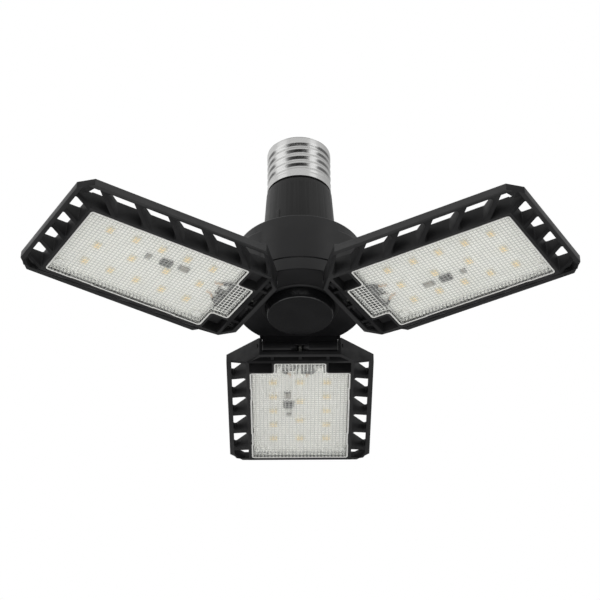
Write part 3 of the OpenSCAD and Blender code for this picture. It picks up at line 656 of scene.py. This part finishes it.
def cutPrisms(lens, make):
    # presses a grid with poked cells into the plate, and returns the outer end of the field
    pitch, clear = make["pitch"], make["clear"]
    wide = 2 * math.floor((panel["lensHalf"] - clear) / pitch)
    long = math.floor((panel["lensEnd"] - clear - panel["tabStart"] - clear) / pitch)
    end = panel["lensEnd"] - clear - make["endGap"]
    bpy.ops.mesh.primitive_grid_add(x_subdivisions=long, y_subdivisions=wide, size=1)
    cutter = bpy.context.object
    cutter.scale = (long * pitch, wide * pitch, 1)
    cutter.location = (end - long * pitch / 2, 0, panel["plateTop"] - make["sink"])
    settle(cutter)
    pickFaces(cutter, lambda c, n: c.x < panel["lensStart"] + clear and abs(c.y) > panel["tabHalf"] - clear)
    bpy.ops.mesh.delete(type="FACE")
    bpy.ops.mesh.select_all(action="SELECT")
    bpy.ops.mesh.poke(offset=-make["depth"])
    bpy.ops.mesh.select_all(action="SELECT")
    bpy.ops.mesh.extrude_region_move(TRANSFORM_OT_translate={"value": (0, 0, make["slab"])})
    faceOutwards(cutter)
    cutAway(lens, cutter)
    return end


def layPlan(lens, end, pitch):
    # lays out the lines of the finishes, one unit to a prism; plain outer faces get none
    plan = lens.data.uv_layers.new(name="plan")
    lens.data.uv_layers.active = plan
    for face in lens.data.polygons:
        endWall = face.material_index == 1 and abs(face.normal.x) > abs(face.normal.y)
        plain = face.material_index == 0 and face.normal.z < sloping
        for index in face.loop_indices:
            point = lens.data.vertices[lens.data.loops[index].vertex_index].co
            if endWall:
                place = (point.y / pitch, point.z / pitch)
            elif plain:
                place = (0.5, 0.5)
            else:
                place = ((end - point.x) / pitch, point.y / pitch)
            plan.data[index].uv = place


def onLensFace(centre, normal):
    return normal.z < -straight and centre.z < panel["lensFace"] + near


def makeLens(make):
    lens = levelCopy("back_lens", "lensMaster")
    end = cutPrisms(lens, make)
    # shallow notches in the edge where the hooks show
    edge = panel["lensHalf"]
    bottom, top = panel["lensFace"] - past, panel["plateTop"] + near
    for notch in hookBlocks("notch", edge - hooks["notch"], edge + past, bottom, top):
        cutAway(lens, notch)
    # a rim round the outer face
    pickFaces(lens, onLensFace)
    bpy.ops.mesh.inset(thickness=lensRim, depth=0, use_even_offset=True)
    leaveEdit()
    outer = [face for face in lens.data.polygons if onLensFace(face.center, face.normal)]
    plate = max(outer, key=lambda face: face.area)
    rimCentres = [face.center.copy() for face in outer if face.index != plate.index]
    dress(lens, "lens")
    # thin walls that close the windows of the hooks
    inner = edge - hooks["inset"]
    for wall in hookBlocks("windowWall", inner, inner + hooks["wall"], hooks["bottom"], hooks["top"]):
        lens = join([lens, wall], lens.name)
    for finish in ("skirt", "rim", "tab"):
        lens.data.materials.append(finishes[finish])
    for face in lens.data.polygons:
        centre, normal = face.center, face.normal
        if centre.z > panel["plateTop"] and abs(normal.z) < sloping:
            face.material_index = 1
        elif normal.z < -straight and any((centre - place).length < near for place in rimCentres):
            face.material_index = 2
        elif normal.z > sloping and centre.x < panel["lensStart"]:
            face.material_index = 3
    layPlan(lens, end, make["pitch"])
    return lens


lensMaster = makeLens(prisms)
for side in panels:
    hangOn(lensMaster, side, "PrismLens", "lens")
drop(lensMaster)
print("lenses done")


# light sources on the boards

source = {
    "length": 3.5 * mm, "width": 2.8 * mm, "height": 0.7 * mm, "bevel": 0.08 * mm,
    "rim": 0.22 * mm, "well": 0.28 * mm, "slope": 0.16 * mm,
    "glowInset": 0.32 * mm, "glowDrop": 0.12 * mm, "glowHeight": 0.1 * mm, "bulge": 0.05 * mm,
}


def makeSource(make):
    bpy.ops.mesh.primitive_cube_add(size=1)
    body = bpy.context.object
    body.scale = (make["width"], make["length"], make["height"])
    body.location = (0, 0, -make["height"] / 2)
    settle(body)
    applyModifier(body, "BEVEL", width=make["bevel"], segments=2)
    pickFaces(body, lambda c, n: n.z < -straight)
    bpy.ops.mesh.inset(thickness=make["rim"], depth=0)
    bpy.ops.mesh.inset(thickness=make["slope"], depth=-make["well"])
    leaveEdit()
    dress(body, "package")
    bpy.ops.mesh.primitive_grid_add(x_subdivisions=4, y_subdivisions=4, size=1)
    glow = bpy.context.object
    inner = 2 * make["glowInset"]
    glow.scale = (make["width"] - inner, make["length"] - inner, -1)
    glow.location = (0, 0, -make["height"] + make["glowDrop"])
    settle(glow)
    for point in glow.data.vertices:
        across = 1 - (point.co.x / make["width"] * 2) ** 2
        along = 1 - (point.co.y / make["length"] * 2) ** 2
        point.co.z -= make["bulge"] * across * along
    takeUp(glow)
    bpy.ops.object.mode_set(mode="EDIT")
    bpy.ops.mesh.select_all(action="SELECT")
    bpy.ops.mesh.extrude_region_move(TRANSFORM_OT_translate={"value": (0, 0, make["glowHeight"])})
    faceOutwards(glow)
    dress(glow, "phosphor")
    smooth(body)
    smooth(glow)
    return body, glow


def sourcePlaces():
    first, last, row = panel["ledFirst"], panel["ledLast"], panel["ledRow"]
    for i in range(5):
        for v in (-row, row):
            yield first + i * (last - first) / 4, v
    for i in range(4):
        yield first + i * (last - first) / 3, 0


def makeSources(make):
    body, glow = makeSource(make)
    masters = []
    for master, name in ((body, "sourceBodies"), (glow, "sourcePhosphor")):
        row = []
        for i, (u, v) in enumerate(sourcePlaces()):
            twin = copyOf(master, f"{name}{i}")
            twin.location = (u, v, panel["boardFace"])
            settle(twin)
            row.append(twin)
        masters.append(join(row, name))
        drop(master)
    return masters


bodies, phosphor = makeSources(source)
for side in panels:
    hangOn(bodies, side, "SourceBodies", "leds")
    hangOn(phosphor, side, "SourcePhosphor", "leds")
drop(bodies)
drop(phosphor)
print("light sources done")


# regulator, small parts and wire ends on the boards

chip = {
    "u": 62.7 * mm, "v": 4.8 * mm, "size": (4.8 * mm, 3.8 * mm, 1.2 * mm), "bevel": 0.15 * mm,
    "legs": 4, "legPitch": 1.2 * mm, "legHalf": 0.22 * mm, "legStart": 0.35 * mm, "legEnd": 0.5 * mm,
    "footHeight": 0.25 * mm, "kneeHeight": 0.7 * mm, "legBevel": 0.04 * mm, "lift": 0.1 * mm,
}
# the parts beside it, with spans and starts of their metal ends measured from the middle of the chip
smallParts = {
    "greyPart": {"along": (-9.4 * mm, -5.8 * mm), "across": (-1.0 * mm, 1.6 * mm), "height": 0.9 * mm,
                 "bevel": 0.15 * mm, "ends": (-9.7 * mm, -5.9 * mm), "endHeight": 0.85 * mm,
                 "endBevel": 0.06 * mm},
    "smallPart": {"along": (7.0 * mm, 8.4 * mm), "across": (-1.5 * mm, 1.1 * mm), "height": 0.6 * mm,
                  "bevel": 0.06 * mm, "ends": (6.6 * mm, 8.3 * mm), "endHeight": 0.62 * mm,
                  "endBevel": 0.04 * mm},
}
endLength = 0.5 * mm
partLift = 0.05 * mm
# the two wires of the lead fan out to these sides and distances, in mm
wires = {"radius": 0.62 * mm, "bare": 0.4 * mm, "fan": ((-1, 6.4), (1, 7.6))}
wireClip = {
    "along": (32.9 * mm, 36.4 * mm), "across": (-5.6 * mm, -0.4 * mm), "height": 2.0 * mm, "bevel": 0.2 * mm,
}
pads = {
    "along": (37.2 * mm, 38.6 * mm), "places": (2.2 * mm, 5.4 * mm), "half": 0.5 * mm,
    "height": 0.35 * mm, "bevel": 0.1 * mm,
}


def addOnBoard(name, along, across, height, finish, bevel, lift=0.02 * mm):
    # block that hangs from the board's face, with a thin gap
    z = panel["boardFace"]
    low = (along[0], min(across), z - height)
    high = (along[1], max(across), z - lift)
    return addBlock(name, low, high, finish, bevel)


def makeChip(make):
    u, v = make["u"], make["v"]
    long, wide, high = make["size"]
    side = wide / 2 - make["legStart"]
    body = addOnBoard("chipBody", (u - long / 2, u + long / 2), (v - side, v + side), high, "chip",
                      make["bevel"], make["lift"])
    legs = []
    for i in range(make["legs"]):
        legU = u + (i - (make["legs"] - 1) / 2) * make["legPitch"]
        along = (legU - make["legHalf"], legU + make["legHalf"])
        for way in (-1, 1):
            edge = v + way * side
            foot = v + way * (wide / 2 + make["legEnd"])
            knee = edge + way * make["legEnd"] / 2
            legs.append(addOnBoard("foot", along, (edge, foot), make["footHeight"], "tin", make["legBevel"]))
            legs.append(addOnBoard("knee", along, (edge, knee), make["kneeHeight"], "tin", make["legBevel"],
                                   make["lift"]))
    return body, legs


def makeWires(make):
    # sleeved stretches with bare ends; the points are along u, across v and under the board, in mm
    def at(u, v, under):
        return (u * mm, v * mm, panel["boardFace"] - under * mm)

    sleeved, bare = [], []
    for way, reach in make["fan"]:
        sleeved.append(addTube(make["radius"], [
            at(31.0, way * 0.7, 0.7), at(33.0, way * 1.6, 1.1), at(34.6, way * 3.6, 1.2),
            at(34.4, way * reach, 1.1), at(36.6, way * (reach - 1.0), 1.0),
            at(37.4, way * (reach - 2.2), 0.9)]))
        bare.append(addTube(make["bare"], [
            at(36.9, way * (reach - 1.5), 0.9), at(38.0, way * (reach - 2.8), 0.6),
            at(39.2, way * (reach - 3.4), 0.4), at(40.0, way * (reach - 3.6), 0.35),
            at(40.8, way * (reach - 3.6), 0.3)]))
    return sleeved, bare


def makeBoardParts():
    body, metalEnds = makeChip(chip)
    grey = []
    for name, part in smallParts.items():
        along = [chip["u"] + shift for shift in part["along"]]
        across = [chip["v"] + shift for shift in part["across"]]
        grey.append(addOnBoard(name, along, across, part["height"], "greyPart", part["bevel"], partLift))
        for shift in part["ends"]:
            start = chip["u"] + shift
            metalEnds.append(addOnBoard("partEnd", (start, start + endLength), across, part["endHeight"],
                                        "tin", part["endBevel"]))
    sleeved, bare = makeWires(wires)
    clip = addOnBoard("wireClip", wireClip["along"], wireClip["across"], wireClip["height"], "chip",
                      wireClip["bevel"])
    for v in pads["places"]:
        across = (v - pads["half"], v + pads["half"])
        grey.append(addOnBoard("pad", pads["along"], across, pads["height"], "greyPart", pads["bevel"]))
    piles = {
        "Regulator": [body, *sleeved, clip], "SmallParts": grey, "Terminals": metalEnds, "WireEnds": bare,
    }
    return {name: join(pile, name + "Master") for name, pile in piles.items()}


# finish and slot of each pile
boardFinishes = {
    "Regulator": ("chip", "dark_parts"), "SmallParts": ("greyPart", "dark_parts"),
    "Terminals": ("tin", "steel"), "WireEnds": ("copper", "steel"),
}

boardMasters = makeBoardParts()
for side in panels:
    for name, master in boardMasters.items():
        finish, slot = boardFinishes[name]
        hangOn(master, side, name, "board_parts", finish)
for master in boardMasters.values():
    drop(master)
print("board parts done")


# frames with softened edges

frameEdge = {
    "width": 0.22 * mm, "segments": 2,
    # where the duller faces of the bays and of the hinge end stop; their darker colour is painted shade
    "floor": 0.25 * mm, "level": 0.97, "halfWidth": 30.2 * mm, "end": 111.3 * mm, "skin": 1.0 * mm,
    "middle": 60 * mm, "hingeEnd": 26.2 * mm,
}


def makeFrame(make):
    piece = levelCopy("back_frame", "frameMaster")
    softenEdges(piece, make["width"], make["segments"])
    smooth(piece, 40)
    dress(piece, "frame")
    # faces in the bays and at the hinge end get the darker inner finish, painted shade
    piece.data.materials.append(finishes["inner"])
    for face in piece.data.polygons:
        centre, normal = face.center, face.normal
        bay = centre.z > panel["trayBottom"] + make["floor"] and abs(normal.z) < make["level"]
        atEdge = max(abs(centre.y) - make["halfWidth"], centre.x - make["end"]) > -make["skin"]
        outward = normal.dot(Vector((centre.x - make["middle"], centre.y, 0))) > 0
        if (bay and not (atEdge and outward)) or centre.x < make["hingeEnd"]:
            face.material_index = 1
    return piece


frameMaster = makeFrame(frameEdge)
for side in panels:
    hangOn(frameMaster, side, "TrayFrame", "frame")
drop(frameMaster)
print("frames done")


# hub pieces with softened edges

hubEdges = {"hub_housing": 0.12 * mm, "hub_base": 0.14 * mm, "hub_cap": 0.45 * mm, "neck_collar": 0.14 * mm}
# the seam at the top of the neck: from this radius inwards to that one, between two heights
neckSeam = {"skin": 12.9 * mm, "radius": 12.3 * mm, "top": 0.05 * mm, "bottom": -0.75 * mm}
# its lower edge is taken down a little, between two heights
neckDrop = {"top": -0.3 * mm, "bottom": -1.1 * mm, "by": 0.45 * mm}
# thin webs that close the slits between the knuckles and the cheeks of the frames
webs = (
    {"along": (19.7 * mm, 23.8 * mm), "across": (14.9 * mm, 15.33 * mm), "bottom": -59.0 * mm},
    {"along": (19.8 * mm, 21.75 * mm), "across": (15.2 * mm, 16.35 * mm), "bottom": -57.69 * mm},
)
webTop = -57.35 * mm
# faces in this span of slope get the paler painted highlight
capPaintedHighlightSlope = (0.45, 0.97)   # how far down the faces of the cap's rounded edge look


def sinkSeam(piece):
    for point in piece.data.vertices:
        radius = math.hypot(point.co.x, point.co.y)
        if radius < neckSeam["skin"]:
            continue
        if neckSeam["bottom"] < point.co.z < neckSeam["top"]:
            point.co.x *= neckSeam["radius"] / radius
            point.co.y *= neckSeam["radius"] / radius
        if neckDrop["bottom"] < point.co.z < neckDrop["top"]:
            point.co.z -= neckDrop["by"]


def addWebs(piece):
    added = []
    for side in panels:
        turn = Matrix.Rotation(math.radians(panels[side]["azimuth"]), 4, "Z")
        for way in (-1, 1):
            for web in webs:
                start, stop = web["along"]
                low, high = sorted(way * v for v in web["across"])
                block = addBlock("web", (start, low, web["bottom"]), (stop, high, webTop), "hub", 0)
                block.matrix_world = turn
                settle(block)
                added.append(block)
    return join([piece] + added, piece.name)


def paintCapEdgeHighlight(piece):
    # the rounded edge of the cap is glossier than its face, and paler: a painted highlight
    dress(piece, "cap")
    piece.data.materials.append(finishes["capEdgePaintedHighlight"])
    for face in piece.data.polygons:
        if capPaintedHighlightSlope[0] < -face.normal.z < capPaintedHighlightSlope[1]:
            face.material_index = 1


def makeHubPiece(node, width):
    words = node.split("_")
    piece = copyOf(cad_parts[node], words[0] + words[1].capitalize() + "Soft")
    mergeLevel(piece)
    if node == "neck_collar":
        sinkSeam(piece)
    softenEdges(piece, width, 3)
    if node == "hub_base":
        piece = addWebs(piece)
    smooth(piece, 40)
    if node == "hub_cap":
        paintCapEdgeHighlight(piece)
    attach(piece, "hub")
    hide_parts(node)


for node, width in hubEdges.items():
    makeHubPiece(node, width)
print("hub pieces done")


# screw shell with a rolled helical thread

thread = {
    "radius": 13.15 * mm, "depth": 0.85 * mm, "pitch": 3.629 * mm, "start": 3.29 * mm,
    "top": 20.3 * mm, "crown": 2.6 * mm, "corner": 0.5 * mm, "lip": 10.25 * mm, "wall": 0.4 * mm,
    "around": 144, "rows": 96, "wallShare": 0.86,
    # the groove runs in and out over these parts of a pitch
    "runInFrom": 0.35, "runIn": 0.5, "runOut": 0.35,
}


def shellPoint(make, turn, step):
    # point of the sheet metal: turn goes round, step goes from the skirt up over the crown
    top, pitch, share, corner = make["top"], make["pitch"], make["wallShare"], make["corner"]
    z = top * min(step / share, 1)
    phase = (z - make["start"]) / pitch - (turn + 0.25)
    rise = min(max((z - make["start"] + pitch * make["runInFrom"]) / (pitch * make["runIn"]), 0), 1)
    fall = min(max((top - make["crown"] - z) / (pitch * make["runOut"]), 0), 1)
    radius = make["radius"] - make["depth"] * 0.5 * (1 - math.cos(2 * math.pi * phase)) * rise * fall
    if step > share:
        over = (step - share) / (1 - share)
        radius = make["radius"] + (make["lip"] - make["radius"]) * over
        z = top
    elif z > top - corner:
        radius -= corner * (1 - math.sqrt(max(0, 1 - ((z - top + corner) / corner) ** 2)))
    angle = 2 * math.pi * turn
    return Vector((radius * math.cos(angle), radius * math.sin(angle), z))


def makeShell(make):
    bpy.ops.mesh.primitive_grid_add(x_subdivisions=make["around"], y_subdivisions=make["rows"], size=1)
    shell = bpy.context.object
    shell.name = shell.data.name = "threadedShell"
    for point in shell.data.vertices:
        point.co = shellPoint(make, point.co.x + 0.5, point.co.y + 0.5)
    faceOutwards(shell, 0.005 * mm)
    applyModifier(shell, "SOLIDIFY", thickness=make["wall"], offset=-1, use_even_offset=True)
    dress(shell, "nickel")
    smooth(shell, 50)
    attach(shell, "hub")
    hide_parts("screw_shell")


makeShell(thread)
print("screw shell done")
